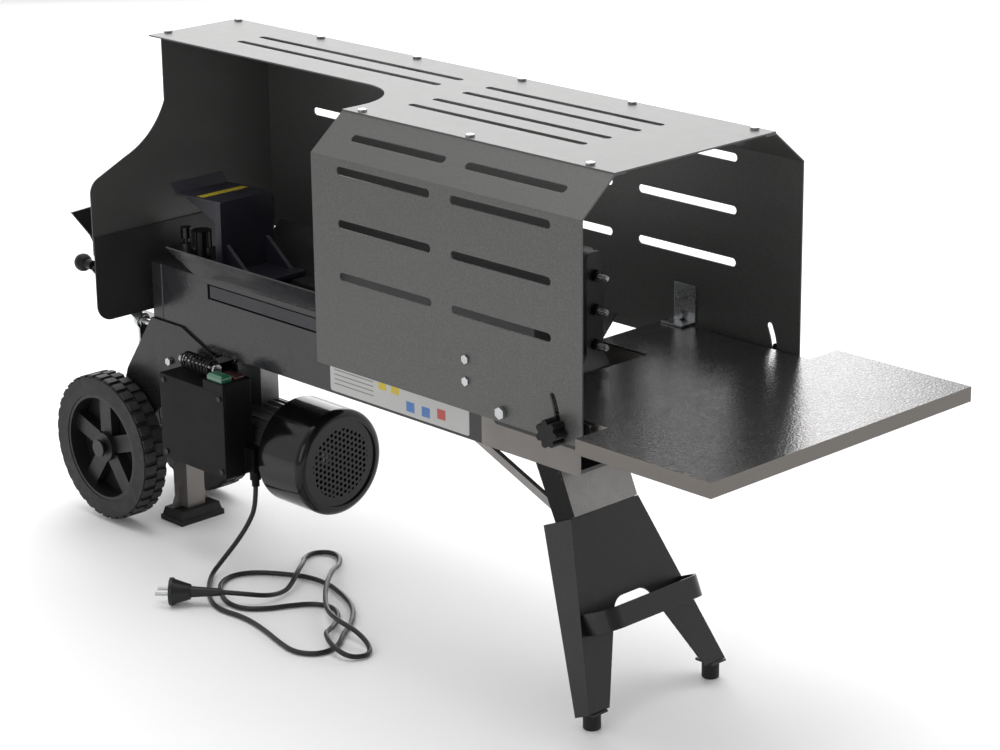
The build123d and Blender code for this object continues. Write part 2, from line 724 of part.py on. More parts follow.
bracket_height = 74.0
bracket_tongue = 26.0
bracket_gap = 1.0
cheek_foot = 20.0
with BuildPart() as leg_bracket:
    face_foot = leg_lip + bracket_gap
    with BuildSketch(leg_plane):
        with Locations((0, (face_foot + bracket_height) / 2)):
            Rectangle(2 * beam_half, bracket_height - face_foot)
    extrude(amount=leg_sheet)
    with BuildSketch(leg_plane.offset(-2 * leg_sheet)):
        with Locations((0, face_foot + leg_sheet / 2)):
            Rectangle(2 * beam_half, leg_sheet)
    extrude(amount=3 * leg_sheet)
    with BuildSketch(leg_plane.offset(-2 * leg_sheet)):
        with Locations((0, (face_foot - bracket_tongue) / 2)):
            Rectangle(2 * beam_half, face_foot + bracket_tongue)
    extrude(amount=leg_sheet)
    for side in (-1, 1):
        near, far = sorted((side * (beam_half - side_plate), side * beam_half))
        plate_xz([(262, beam_bottom), (beam_right - 36, beam_bottom), leg_spot(-60, 0),
                  leg_spot(-face_foot, 0), leg_spot(-face_foot, -leg_sheet),
                  leg_spot(cheek_foot, -leg_sheet), leg_spot(cheek_foot, -34)], near, far)
    back = leg_top_x - leg_sheet / leg_out.X
    slope = leg_run.X / leg_run.Z
    for side in (-1, 1):
        near, far = sorted((side * (beam_half - 8), side * (beam_half - 1)))
        plate_xz([(148, beam_bottom), (176, beam_bottom),
                  (back + slope * (240 - leg_top_z), 240),
                  (back + slope * (226 - leg_top_z), 226)], near, far)
leg_bracket.part.label = "leg_bracket"
export_step(leg_bracket.part, "parts/leg_bracket.step")

strap_bow = 45.0
strap_sheet = 3.0
strap_width = 28.0
strap_half = 90.0
strap_corner = 24.0
strap_drop = 105.0
strap_plane = Plane(origin=leg_plane.origin + leg_down * strap_drop, x_dir=(0, 1, 0),
                    z_dir=leg_down)
with BuildPart() as carry_strap:
    for inset, how in ((0, Mode.ADD), (strap_sheet, Mode.SUBTRACT)):
        reach = strap_half - inset
        height = strap_bow - inset
        bend = strap_corner - inset
        with BuildSketch(strap_plane) as outline:
            with BuildLine():
                Line((-reach, 0), (-reach, height - bend))
                RadiusArc((-reach, height - bend), (-reach + bend, height), bend)
                Line((-reach + bend, height), (reach - bend, height))
                RadiusArc((reach - bend, height), (reach, height - bend), bend)
                Polyline((reach, height - bend), (reach, 0), (-reach, 0))
            make_face()
        extrude(outline.sketch, amount=strap_width, mode=how)
carry_strap.part.label = "carry_strap"
export_step(carry_strap.part, "parts/carry_strap.step")

# ---------------------------------------------------------------- rear foot and wheels

pad_height = 20.0
post_half = 16.0
valve_bottom = 252.0
with BuildPart() as rear_post:
    block(rear_foot_x - post_half, rear_foot_x + post_half, -post_half, post_half,
          pad_height - 6, valve_bottom)
    block(rear_foot_x - post_half + 3, rear_foot_x + post_half - 3, -post_half + 3,
          post_half - 3, pad_height, valve_bottom - 4, mode=Mode.SUBTRACT)
    for side in (-1, 1):
        plate_yz([(side * post_half, pad_height), (side * 34, pad_height),
                  (side * post_half, 62)], rear_foot_x - 2, rear_foot_x + 2)
rear_post.part.label = "rear_post"
export_step(rear_post.part, "parts/rear_post.step")

with BuildPart() as rubber_feet:
    for side in (-1, 1):
        bar_z(0, foot_height, foot_x - 2, side * foot_y, foot_radius)
    chamfer(rubber_feet.edges().group_by(Axis.Z)[0], 1.5)
    with BuildSketch(Plane.XY):
        with Locations((rear_foot_x + 5, 0)):
            Rectangle(51, 80)
    extrude(amount=8)
    with BuildSketch(Plane.XY.offset(8)):
        with Locations((rear_foot_x + 5, 0)):
            Rectangle(47, 76)
    extrude(amount=pad_height - 8, taper=14)
    block(rear_foot_x - post_half, rear_foot_x + post_half, -post_half, post_half,
          pad_height - 6, pad_height, mode=Mode.SUBTRACT)
rubber_feet.part.label = "rubber_feet"
export_step(rubber_feet.part, "parts/rubber_feet.step")

axle_z = wheel_radius + wheel_lift
bracket_outer = beam_half + side_plate
with BuildPart() as wheel_brackets:
    for side in (-1, 1):
        near, far = sorted((side * beam_half, side * bracket_outer))
        plate_xz([(-526, 326), (-456, 326), (-432, 316), (-385, 298), (-385, 282),
                  (-452, 252), (-560, 150), (axle_x + 20, axle_z - 22),
                  (axle_x - 20, axle_z - 22), (axle_x - 26, axle_z), (-590, 235)],
                 near, far)
        bar_y(near, far, axle_x, axle_z, axle_radius, mode=Mode.SUBTRACT)
    for x, z in ((-575, 175), (-470, 266)):
        bar_y(-beam_half, beam_half, x, z, 6)
wheel_brackets.part.label = "wheel_brackets"
export_step(wheel_brackets.part, "parts/wheel_brackets.step")

with BuildPart() as wheel_axle:
    bar_y(-wheel_inner - wheel_width - 1, wheel_inner + wheel_width + 1, axle_x, axle_z,
          axle_radius)
    for side in (-1, 1):
        near, far = sorted((side * (wheel_inner + wheel_width + 1),
                            side * (wheel_inner + wheel_width + 5)))
        bar_y(near, far, axle_x, axle_z, 13)
        near, far = sorted((side * bracket_outer, side * (wheel_inner - apart)))
        bar_y(near, far, axle_x, axle_z, 14)
        bar_y(near, far, axle_x, axle_z, axle_radius, mode=Mode.SUBTRACT)
wheel_axle.part.label = "wheel_axle"
export_step(wheel_axle.part, "parts/wheel_axle.step")

tread_depth = 4.0
tread_blocks = 34
rim_ring = 5.0
spokes = 5
hub_radius = 22.0
web_start = 8.0
web_sheet = 3.0


def wheel_ring(side, start, end, outer, inner):
    """A ring round the axle, between two distances from the wheel's inner face."""
    near, far = sorted((side * (wheel_inner + start), side * (wheel_inner + end)))
    with BuildSketch(at_y(near)) as outline:
        with Locations((axle_x, axle_z)):
            Circle(outer)
            Circle(inner, mode=Mode.SUBTRACT)
    extrude(outline.sketch, amount=-(far - near))


def wheel_tyre(side):
    """A solid rubber tyre with two rows of tread blocks."""
    wheel_ring(side, 0, wheel_width, wheel_radius - tread_depth, rim_radius)
    for start, end, turn in ((2, wheel_width / 2 - 1, 0), (wheel_width / 2 + 1, wheel_width - 2, 5)):
        near, far = sorted((side * (wheel_inner + start), side * (wheel_inner + end)))
        with BuildSketch(at_y(near)) as outline:
            with Locations((axle_x, axle_z)):
                with PolarLocations(wheel_radius - tread_depth, tread_blocks, turn):
                    Rectangle(2 * tread_depth, 13)
        extrude(outline.sketch, amount=-(far - near))
    near, far = sorted((side * wheel_inner, side * (wheel_inner + wheel_width)))
    with BuildSketch(at_y(near)) as outline:
        with Locations((axle_x, axle_z)):
            Circle(wheel_radius + 20)
            Circle(wheel_radius, mode=Mode.SUBTRACT)
    extrude(outline.sketch, amount=-(far - near), mode=Mode.SUBTRACT)


def wheel_rim(side):
    """A moulded rim: ring, hub and spokes, closed by a thin web."""
    wheel_ring(side, 1, wheel_width - 1, rim_radius, rim_radius - rim_ring)
    wheel_ring(side, 0, wheel_width - 4, hub_radius, axle_radius + slide_fit)
    near, far = sorted((side * (wheel_inner + 10), side * (wheel_inner + 28)))
    with BuildSketch(at_y(near)) as outline:
        with Locations((axle_x, axle_z)):
            with PolarLocations((hub_radius + rim_radius - rim_ring) / 2, spokes, 90):
                Rectangle(rim_radius - rim_ring - hub_radius + 3, 26)
            Circle(hub_radius, mode=Mode.SUBTRACT)
    extrude(outline.sketch, amount=-(far - near))
    wheel_ring(side, web_start, web_start + web_sheet, rim_radius - 1, hub_radius - 1)


with BuildPart() as tyre_front:
    wheel_tyre(-1)
tyre_front.part.label = "tyre_front"
export_step(tyre_front.part, "parts/tyre_front.step")

with BuildPart() as tyre_rear:
    wheel_tyre(1)
tyre_rear.part.label = "tyre_rear"
export_step(tyre_rear.part, "parts/tyre_rear.step")

with BuildPart() as rim_front:
    wheel_rim(-1)
rim_front.part.label = "rim_front"
export_step(rim_front.part, "parts/rim_front.step")

with BuildPart() as rim_rear:
    wheel_rim(1)
rim_rear.part.label = "rim_rear"
export_step(rim_rear.part, "parts/rim_rear.step")

# ---------------------------------------------------------------- motor


def motor_disc(x0, x1, radius, mode=Mode.ADD):
    """A disc on the motor's axis."""
    bar_x(x0, x1, 0, motor_z, radius, mode=mode)


housing_bore = 48.0
stator_bore = 40.5
rotor_radius = 40.0
core_left = -390.0
core_right = -285.0
fins = 28
mount_length = 50.0
mount_half = 16.0
bearing_bore = shaft_radius + slide_fit
bell_left = -418.0
shield_right = motor_right + 8
with BuildPart() as motor_housing:
    motor_disc(motor_left, motor_right, motor_radius)
    with BuildSketch(at_x(motor_left + 5)):
        with Locations((0, motor_z)):
            with PolarLocations(motor_radius + fin_height / 2 - 1, fins):
                Rectangle(fin_height + 2, 2.4)
    extrude(amount=motor_right - motor_left - 12)
    block(motor_left + 20, motor_left + 20 + mount_length, -mount_half, mount_half,
          motor_z + motor_radius - 4, beam_bottom)
    motor_disc(bell_left, motor_left, motor_radius + 2)
    motor_disc(motor_right, shield_right, motor_radius - 2)
    motor_disc(bell_left, shield_right, bearing_bore, mode=Mode.SUBTRACT)
    motor_disc(motor_left, core_left, housing_bore, mode=Mode.SUBTRACT)
    motor_disc(core_left, core_right, stator_bore, mode=Mode.SUBTRACT)
    motor_disc(core_right, motor_right, housing_bore, mode=Mode.SUBTRACT)
motor_housing.part.label = "motor_housing"
export_step(motor_housing.part, "parts/motor_housing.step")

pump_left = -470.0
pump_split = -453.0
shaft_left = pump_split - 10
fan_left = shield_right + 8
fan_right = fan_left + 30
with BuildPart() as motor_rotor:
    motor_disc(core_left, core_right, rotor_radius)
    motor_disc(shaft_left, fan_right + 4, shaft_radius)
motor_rotor.part.label = "motor_rotor"
export_step(motor_rotor.part, "parts/motor_rotor.step")

fan_blades = 9
with BuildPart() as cooling_fan:
    motor_disc(fan_left, fan_right, 20)
    motor_disc(fan_left, fan_left + 3, 62)
    with BuildSketch(at_x(fan_left)):
        with Locations((0, motor_z)):
            with PolarLocations(40, fan_blades):
                Rectangle(44, 3)
    extrude(amount=fan_right - fan_left)
    motor_disc(fan_left, fan_right, shaft_radius, mode=Mode.SUBTRACT)
cooling_fan.part.label = "cooling_fan"
export_step(cooling_fan.part, "parts/cooling_fan.step")

cowl_left = -272.0
cowl_sheet = 2.0
cowl_face_radius = 65.0
cowl_round = 12.0
cowl_recess = 3.0
vent_pitch = 8.4
vent_radius = 2.5
vent_reach = 50.0
with BuildPart() as fan_cowl:
    motor_disc(cowl_left, cowl_right, cowl_radius)
    fillet(fan_cowl.edges().filter_by(GeomType.CIRCLE).group_by(Axis.X)[-1], cowl_round)
    motor_disc(cowl_left + cowl_sheet, cowl_right - cowl_sheet - cowl_round,
               cowl_radius - cowl_sheet, mode=Mode.SUBTRACT)
    motor_disc(cowl_left + cowl_sheet, cowl_right - cowl_sheet - cowl_recess,
               cowl_face_radius - 1, mode=Mode.SUBTRACT)
    motor_disc(cowl_left, cowl_left + cowl_sheet, motor_radius + fin_height + 1,
               mode=Mode.SUBTRACT)
    motor_disc(cowl_right - cowl_recess, cowl_right, cowl_face_radius - 2, mode=Mode.SUBTRACT)
    with BuildSketch(at_x(cowl_right - 8)):
        with Locations((0, motor_z)):
            with HexLocations(vent_pitch / 2, 15, 15):
                Circle(vent_radius)
            Circle(vent_reach, mode=Mode.INTERSECT)
    extrude(amount=8, mode=Mode.SUBTRACT)
fan_cowl.part.label = "fan_cowl"
export_step(fan_cowl.part, "parts/fan_cowl.step")

# ---------------------------------------------------------------- pump

pump_right = bell_left
cavity_radius = gear_tip + apart
driven_z = motor_z + 2 * gear_pitch
stub_radius = 5.0
gear_left = pump_split + 1
gear_right = gear_left + gear_width
pump_half = 42.0
pump_bottom = 136.0
pump_top = 250.0
with BuildPart() as pump_body:
    block(pump_split, pump_right, -pump_half, pump_half, pump_bottom, pump_top)
    for z in (motor_z, driven_z):
        bar_x(pump_split, gear_right + 1, 0, z, cavity_radius, mode=Mode.SUBTRACT)
    bar_x(pump_split, pump_right, 0, motor_z, bearing_bore, mode=Mode.SUBTRACT)
    bar_x(pump_split, pump_right - 4, 0, driven_z, stub_radius + slide_fit,
          mode=Mode.SUBTRACT)
    block(pump_left, pump_split, -pump_half, pump_half, pump_bottom, pump_top)
    bar_x(shaft_left - 1, pump_split, 0, motor_z, bearing_bore, mode=Mode.SUBTRACT)
    bar_x(shaft_left - 1, pump_split, 0, driven_z, stub_radius + slide_fit,
          mode=Mode.SUBTRACT)
    for side in (-1, 1):
        for z in (pump_bottom + 10, pump_top - 10):
            hex_head(Plane(origin=(pump_left, side * (pump_half - 9), z), z_dir=(-1, 0, 0)),
                     6, 5)
pump_body.part.label = "pump_body"
export_step(pump_body.part, "parts/pump_body.step")

def pump_gear(centre_z, first_tooth, bore):
    """A spur gear with straight-sided teeth."""
    with BuildSketch(at_x(gear_left)) as outline:
        with Locations((0, centre_z)):
            Circle(gear_root)
        for tooth in range(gear_teeth):
            turn = first_tooth + tooth * 360 / gear_teeth
            with Locations(Location((0, centre_z, 0), (0, 0, turn))):
                Polygon((gear_root - 1, -gear_root_half), (gear_tip, -gear_tip_half),
                        (gear_tip, gear_tip_half), (gear_root - 1, gear_root_half),
                        align=None)
        with Locations((0, centre_z)):
            Circle(bore, mode=Mode.SUBTRACT)
    extrude(outline.sketch, amount=gear_width)


with BuildPart() as pump_drive_gear:
    pump_gear(motor_z, 90, shaft_radius)
pump_drive_gear.part.label = "pump_drive_gear"
export_step(pump_drive_gear.part, "parts/pump_drive_gear.step")

with BuildPart() as pump_driven_gear:
    pump_gear(driven_z, 90 + 180 / gear_teeth, stub_radius)
    bar_x(shaft_left, pump_right - 5, 0, driven_z, stub_radius)
pump_driven_gear.part.label = "pump_driven_gear"
export_step(pump_driven_gear.part, "parts/pump_driven_gear.step")

pipe_radius = 5.0
pipe_y = 24.0
pipe_z = 277.0
valve_right = beam_left
with BuildPart() as pressure_pipe:
    with BuildLine() as pipe_route:
        FilletPolyline((-436, pipe_y, pump_top), (-436, pipe_y, pipe_z),
                       (valve_right, pipe_y, pipe_z), radius=14)
    with BuildSketch(Plane(origin=pipe_route.line @ 0, z_dir=pipe_route.line % 0)):
        Circle(pipe_radius)
    sweep()
    bar_z(pump_top, pump_top + 8, -436, pipe_y, 8)
    bar_x(valve_right, valve_right + 8, pipe_y, pipe_z, 8)
pressure_pipe.part.label = "pressure_pipe"
export_step(pressure_pipe.part, "parts/pressure_pipe.step")

# ---------------------------------------------------------------- valve and lever

valve_left = -566.0
valve_front = -32.0
valve_back = 50.0
spool_radius = 7.0
spool_front = -54.0
spool_back = 30.0
spool_stroke = 8.0
with BuildPart() as valve_block:
    block(valve_left, valve_right, valve_front, valve_back, valve_bottom, beam_bottom)
    bar_y(valve_front, spool_back + spool_stroke + 2, spool_x, spool_z,
          spool_radius + slide_fit, mode=Mode.SUBTRACT)
valve_block.part.label = "valve_block"
export_step(valve_block.part, "parts/valve_block.step")

pin_radius = 3.0
with BuildPart() as valve_spool:
    bar_y(spool_front, spool_back, spool_x, spool_z, spool_radius)
    bar_y(-8, 4, spool_x, spool_z, spool_radius + 1, mode=Mode.SUBTRACT)
    bar_y(-8, 4, spool_x, spool_z, spool_radius - 3)
    with BuildSketch(at_x(spool_x - spool_radius - 1)):
        with Locations((lever_pivot_y, spool_z)):
            SlotOverall(2 * pin_radius + 4, 2 * pin_radius + 2 * apart, rotation=90)
    extrude(amount=2 * spool_radius + 2, mode=Mode.SUBTRACT)
valve_spool.part.label = "valve_spool"
export_step(valve_spool.part, "parts/valve_spool.step")

grip_y = -125.0
grip_z = 408.0
with BuildPart() as control_lever:
    with BuildSketch(at_x(lever_x)):
        with BuildLine():
            Polyline((lever_pivot_y, spool_z), (lever_pivot_y, lever_pivot_z),
                     (grip_y, grip_z))
        trace(line_width=15)
        with Locations((lever_pivot_y, lever_pivot_z)):
            Circle(12)
            Circle(5 + slide_fit, mode=Mode.SUBTRACT)
    extrude(amount=lever_sheet)
    bar_x(lever_x + lever_sheet, spool_x + spool_radius - 1, lever_pivot_y, spool_z,
          pin_radius)
control_lever.part.label = "control_lever"
export_step(control_lever.part, "parts/control_lever.step")

grip_radius = 13.0
with BuildPart() as lever_grip:
    bar_x(lever_x - 24, lever_x, grip_y, grip_z, 7)
    with Locations((lever_x - 24, grip_y, grip_z)):
        Sphere(grip_radius, rotation=(0, 90, 0))
lever_grip.part.label = "lever_grip"
export_step(lever_grip.part, "parts/lever_grip.step")

wing_x = -624.0
wing_sheet = 3.0
with BuildPart() as lever_guard:
    block(wing_x, block_left, -28, -8, beam_bottom + 2, beam_bottom + 5)
    plate_yz([(-28, beam_bottom + 2), (-8, beam_bottom + 2), (-8, 330), (-64, 480),
              (-123, 477), (-92, 437)], wing_x, wing_x + wing_sheet)
lever_guard.part.label = "lever_guard"
export_step(lever_guard.part, "parts/lever_guard.step")

# ---------------------------------------------------------------- caps and bolts

with BuildPart() as oil_cap:
    bar_z(side_top, beam_top + 20, oil_cap_x, 0, oil_neck - slide_fit)
    bar_z(beam_top + 0.4, beam_top + 6, oil_cap_x, 0, 13)
    with BuildSketch(Plane.XY.offset(beam_top + 20)):
        with Locations((oil_cap_x, 0)):
            Circle(14)
            with PolarLocations(14, 10):
                Circle(2)
    extrude(amount=24)
oil_cap.part.label = "oil_cap"
export_step(oil_cap.part, "parts/oil_cap.step")

# ---------------------------------------------------------------- switch box

boss_left = -346.0
boss_top = 285.0
button_left = -340.0
button_right = -308.0
start_front = -108.0
start_back = -90.0
stop_front = -85.0
stop_back = -68.0
lid_sheet = 3.0
gland_x = -292.0
gland_y = -67.0
gland_bottom = 128.0
with BuildPart() as switch_box:
    block(box_left, box_right, box_front + lid_sheet, box_back, box_bottom, box_top)
    block(box_left + box_wall, box_right - box_wall, box_front + lid_sheet,
          box_back - box_wall, box_bottom + box_wall, box_top - box_wall,
          mode=Mode.SUBTRACT)
    block(boss_left, box_right, box_front, box_back, box_top, boss_top)
    for front, back in ((start_front, start_back), (stop_front, stop_back)):
        block(button_left - apart, button_right + apart, front - apart, back + apart,
              boss_top - 9, boss_top, mode=Mode.SUBTRACT)
    block(box_right, box_right + 18, -76, -60, 150, 186)
    bar_z(gland_bottom + 10, 150, gland_x, gland_y, 8)
    bar_z(gland_bottom, gland_bottom + 10, gland_x, gland_y, 5.5)
    bar_z(gland_bottom, gland_bottom + 13, gland_x, gland_y, cord_radius + apart,
          mode=Mode.SUBTRACT)
switch_box.part.label = "switch_box"
export_step(switch_box.part, "parts/switch_box.step")

with BuildPart() as switch_box_lid:
    block(box_left, box_right, box_front, box_front + lid_sheet, box_bottom, box_top)
switch_box_lid.part.label = "switch_box_lid"
export_step(switch_box_lid.part, "parts/switch_box_lid.step")

with BuildPart() as frame_bolts:
    for height in bolt_heights:
        hex_head(Plane(origin=(wedge_back + wedge_plate, 0, height), z_dir=(1, 0, 0)),
                 8, 7)
        bar_x(wedge_back, wedge_back + wedge_plate, 0, height, wedge_bolt_radius)
    for side in (-1, 1):
        for x, z in ((-486, 268), (-414, 288)):
            hex_head(Plane(origin=(x, side * bracket_outer, z), z_dir=(0, side, 0)),
                     6, 5)
    for x in (box_left + 9, box_right - 9):
        for z in (box_bottom + 9, box_top - 9):
            bar_y(box_front - 1.5, box_front, x, z, 4)
    bar_z(beam_top + 18, beam_top + 26, bleed_x, 0, 4)
    bar_z(beam_top + 26, beam_top + 42, bleed_x, 0, 8)
frame_bolts.part.label = "frame_bolts"
export_step(frame_bolts.part, "parts/frame_bolts.step")

with BuildPart() as start_button:
    block(button_left, button_right, start_front, start_back, boss_top - 5, boss_top + 11)
    fillet(start_button.edges().group_by(Axis.Z)[-1], 6)
start_button.part.label = "start_button"
export_step(start_button.part, "parts/start_button.step")

with BuildPart() as stop_button:
    block(button_left, button_right, stop_front, stop_back, boss_top - 5, boss_top + 5)
    fillet(stop_button.edges().group_by(Axis.Z)[-1], 2)
stop_button.part.label = "stop_button"
export_step(stop_button.part, "parts/stop_button.step")

# ---------------------------------------------------------------- mains cord

cord_points = [
    (gland_x, gland_y, gland_bottom + 12), (-292, -67.5, 100), (-298, -78, 72),
    (-310, -91, 45), (-322, -107, 20), (-316, -134, 6), (-290, -160, 4), (-254, -188, 4),
    (-214, -205, 4), (-166, -197, 4), (-114, -205, 4), (-64, -219, 4), (-24, -226, 4),
    (4, -206, 4), (2, -172, 4), (-24, -142, 4), (-46, -106, 4), (-84, -70, 4),
    (-128, -50, 4), (-174, -38, 4), (-212, -40, 4), (-248, -58, 4), (-282, -82, 4),
    (-297, -113, 4), (-285, -144, 4), (-256, -166, 4), (-222, -182, 4), (-190, -180, 4),
    (-167, -157, 4), (-153, -127, 4), (-136, -100, 4), (-108, -88, 4), (-80, -100, 4),
    (-58, -126, 4), (-38, -154, 10), (-20, -176, 18), (14, -196, 18), (42, -190, 6),
    (54, -164, 4), (34, -144, 6), (2, -140, 17), (-36, -138, 19), (-72, -126, 18),
    (-104, -104, 17), (-136, -76, 18), (-164, -46, 19), (-190, -14, 16), (-212, 14, 6),
    (-238, 40, 4), (-264, 44, 4), (-282, 22, 4), (-270, -4, 4), (-242, -24, 17),
    (-216, -58, 18), (-196, -90, 8), (-190, -112, 7), (-186, -142, 13), (-204, -166, 18),
    (-226, -186, 20)]
corner_share = 0.45


def bend_radii(points):
    """The arc radius at each corner, from its shorter run and half its turn."""
    path = [Vector(*point) for point in points]
    radii = []
    for before, corner, after in zip(path, path[1:], path[2:]):
        into, out = corner - before, after - corner
        turn = math.radians(into.get_angle(out))
        radii.append(corner_share * min(into.length, out.length) / math.tan(turn / 2))
    return radii


cord_radii = bend_radii(cord_points)
with BuildPart() as mains_cord:
    with BuildLine() as cord_route:
        FilletPolyline(*cord_points, radius=cord_radii)
    with BuildSketch(Plane(origin=cord_route.line @ 0, z_dir=cord_route.line % 0)):
        Circle(cord_radius)
    sweep()
mains_cord.part.label = "mains_cord"
export_step(mains_cord.part, "parts/mains_cord.step")
cord_length = cord_route.wire().length
print("cord length", round(cord_length), "tightest bend", round(min(cord_radii), 1))
print("cord volume ratio",
      round(mains_cord.part.volume / (cord_length * math.pi * cord_radius ** 2), 4))

plug_axis = Vector(-0.74, -0.67, 0).normalized()
plug_start = Vector(*cord_points[-1])
relief_length = 44.0
plug_length = 29.0
plug_radius = 18.5
pin_length = 19.0
pin_gap = 19.0
plug_plane = Plane(origin=plug_start, x_dir=(0, 0, 1), z_dir=plug_axis)
with BuildPart() as mains_plug:
    with BuildSketch(plug_plane):
        Circle(5)
    with BuildSketch(plug_plane.offset(relief_length)):
        Circle(8)
    loft()
    with BuildSketch(plug_plane.offset(relief_length)):
        Circle(10.5)
    with BuildSketch(plug_plane.offset(relief_length + plug_length - 5)):
        Circle(plug_radius - 0.5)
    loft()
    with BuildSketch(plug_plane.offset(relief_length + plug_length - 5)):
        Circle(plug_radius + 1)
    extrude(amount=5)
    with BuildSketch(plug_plane):
        Circle(cord_radius)
    extrude(amount=6, mode=Mode.SUBTRACT)
mains_plug.part.label = "mains_plug"
export_step(mains_plug.part, "parts/mains_plug.step")

with BuildPart() as plug_pins:
    with BuildSketch(plug_plane.offset(relief_length + plug_length)):
        with Locations((0, pin_gap / 2), (0, -pin_gap / 2)):
            Circle(2.4)
    extrude(amount=pin_length)
plug_pins.part.label = "plug_pins"
export_step(plug_pins.part, "parts/plug_pins.step")
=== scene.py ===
import json
import math

import bpy
import numpy as np
from mathutils import Matrix, Vector


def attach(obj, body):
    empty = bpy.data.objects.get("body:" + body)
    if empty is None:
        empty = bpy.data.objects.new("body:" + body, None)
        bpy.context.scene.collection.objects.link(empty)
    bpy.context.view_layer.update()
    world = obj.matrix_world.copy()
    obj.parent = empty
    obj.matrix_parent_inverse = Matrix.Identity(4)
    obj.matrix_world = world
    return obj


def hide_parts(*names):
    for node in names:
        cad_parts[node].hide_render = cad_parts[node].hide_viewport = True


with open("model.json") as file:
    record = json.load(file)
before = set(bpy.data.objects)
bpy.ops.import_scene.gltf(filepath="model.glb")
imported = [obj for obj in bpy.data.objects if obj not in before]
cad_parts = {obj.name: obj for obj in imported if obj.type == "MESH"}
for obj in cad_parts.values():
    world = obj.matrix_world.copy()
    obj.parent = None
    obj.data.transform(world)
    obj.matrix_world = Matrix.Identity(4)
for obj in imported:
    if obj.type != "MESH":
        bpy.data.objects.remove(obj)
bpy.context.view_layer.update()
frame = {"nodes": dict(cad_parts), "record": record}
nodes = frame["nodes"]

# camera, on the machine's table side, a little above it
view = {"place": (2.7052, -2.4552, 1.5432), "turn": 46.26, "rise": 18.20, "roll": -0.685,
        "lens": 103.63, "sensor": 36, "farthest": 60}
turn, rise, roll = (math.radians(view[k]) for k in ("turn", "rise", "roll"))
back = Vector((math.sin(turn) * math.cos(rise), -math.cos(turn) * math.cos(rise), math.sin(rise)))
right = Vector((math.cos(turn), math.sin(turn), 0))
up = back.cross(right)
right = right * math.cos(roll) + up * math.sin(roll)
up = back.cross(right)
cameraData = bpy.data.cameras.new("camera")
cameraData.lens = view["lens"]
cameraData.sensor_width = view["sensor"]
cameraData.clip_end = view["farthest"]
camera = bpy.data.objects.new("camera", cameraData)
bpy.context.collection.objects.link(camera)
camera.matrix_world = Matrix((
    (right.x, up.x, back.x, view["place"][0]),
    (right.y, up.y, back.y, view["place"][1]),
    (right.z, up.z, back.z, view["place"][2]),
    (0, 0, 0, 1)))
bpy.context.scene.camera = camera

# the mains cord, along the same route as the part's tube
cordSet = {"radius": 0.0035, "length": 2.087, "exit": (-0.292, -0.067, 0.140)}
perMetre = 1000  # the route is in millimetres
route = [
    (-292, -67, 140), (-292, -67.5, 100), (-298, -78, 72),
    (-310, -91, 45), (-322, -107, 20), (-316, -134, 6), (-290, -160, 4), (-254, -188, 4),
    (-214, -205, 4), (-166, -197, 4), (-114, -205, 4), (-64, -219, 4), (-24, -226, 4),
    (4, -206, 4), (2, -172, 4), (-24, -142, 4), (-46, -106, 4), (-84, -70, 4),
    (-128, -50, 4), (-174, -38, 4), (-212, -40, 4), (-248, -58, 4), (-282, -82, 4),
    (-297, -113, 4), (-285, -144, 4), (-256, -166, 4), (-222, -182, 4), (-190, -180, 4),
    (-167, -157, 4), (-153, -127, 4), (-136, -100, 4), (-108, -88, 4), (-80, -100, 4),
    (-58, -126, 4), (-38, -154, 10), (-20, -176, 18), (14, -196, 18), (42, -190, 6),
    (54, -164, 4), (34, -144, 6), (2, -140, 17), (-36, -138, 19), (-72, -126, 18),
    (-104, -104, 17), (-136, -76, 18), (-164, -46, 19), (-190, -14, 16), (-212, 14, 6),
    (-238, 40, 4), (-264, 44, 4), (-282, 22, 4), (-270, -4, 4), (-242, -24, 17),
    (-216, -58, 18), (-196, -90, 8), (-190, -112, 7), (-186, -142, 13), (-204, -166, 18),
    (-226, -186, 20)]
curve = bpy.data.curves.new("mainsCordLook", "CURVE")
curve.dimensions = "3D"
curve.bevel_depth = 1.0  # each point carries the cord's radius
curve.bevel_resolution = 5
curve.use_fill_caps = True
spline = curve.splines.new("NURBS")
spline.points.add(len(route) - 1)
for point, spot in zip(spline.points, route):
    point.co = (spot[0] / perMetre, spot[1] / perMetre, spot[2] / perMetre, 1)
    point.radius = cordSet["radius"]
spline.order_u = 3
spline.use_endpoint_u = True
spline.resolution_u = 8
cordLook = bpy.data.objects.new("mainsCordLook", curve)
bpy.context.collection.objects.link(cordLook)
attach(cordLook, "frame")
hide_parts("mains_cord")
print("camera and cord ready")


# materials
def newMaterial(name):
    material = bpy.data.materials.new(name)
    material.use_nodes = True
    tree = material.node_tree
    tree.nodes.clear()
    out = tree.nodes.new("ShaderNodeOutputMaterial")
    shader = tree.nodes.new("ShaderNodeBsdfPrincipled")
    tree.links.new(shader.outputs[0], out.inputs[0])
    coord = tree.nodes.new("ShaderNodeTexCoord")
    return material, tree, shader, coord.outputs["Object"]


def noise(tree, coord, scale, detail, rough=0.5):
    node = tree.nodes.new("ShaderNodeTexNoise")
    node.inputs["Scale"].default_value = scale
    node.inputs["Detail"].default_value = detail
    node.inputs["Roughness"].default_value = rough
    tree.links.new(coord, node.inputs["Vector"])
    return node.outputs["Fac"]


def spread(tree, value, low, high, start=0.3, end=0.7):
    # the value's way from start to end becomes the way from low to high, and stops there
    node = tree.nodes.new("ShaderNodeMapRange")
    node.inputs["From Min"].default_value = start
    node.inputs["From Max"].default_value = end
    node.inputs["To Min"].default_value = low
    node.inputs["To Max"].default_value = high
    tree.links.new(value, node.inputs["Value"])
    return node.outputs["Result"]


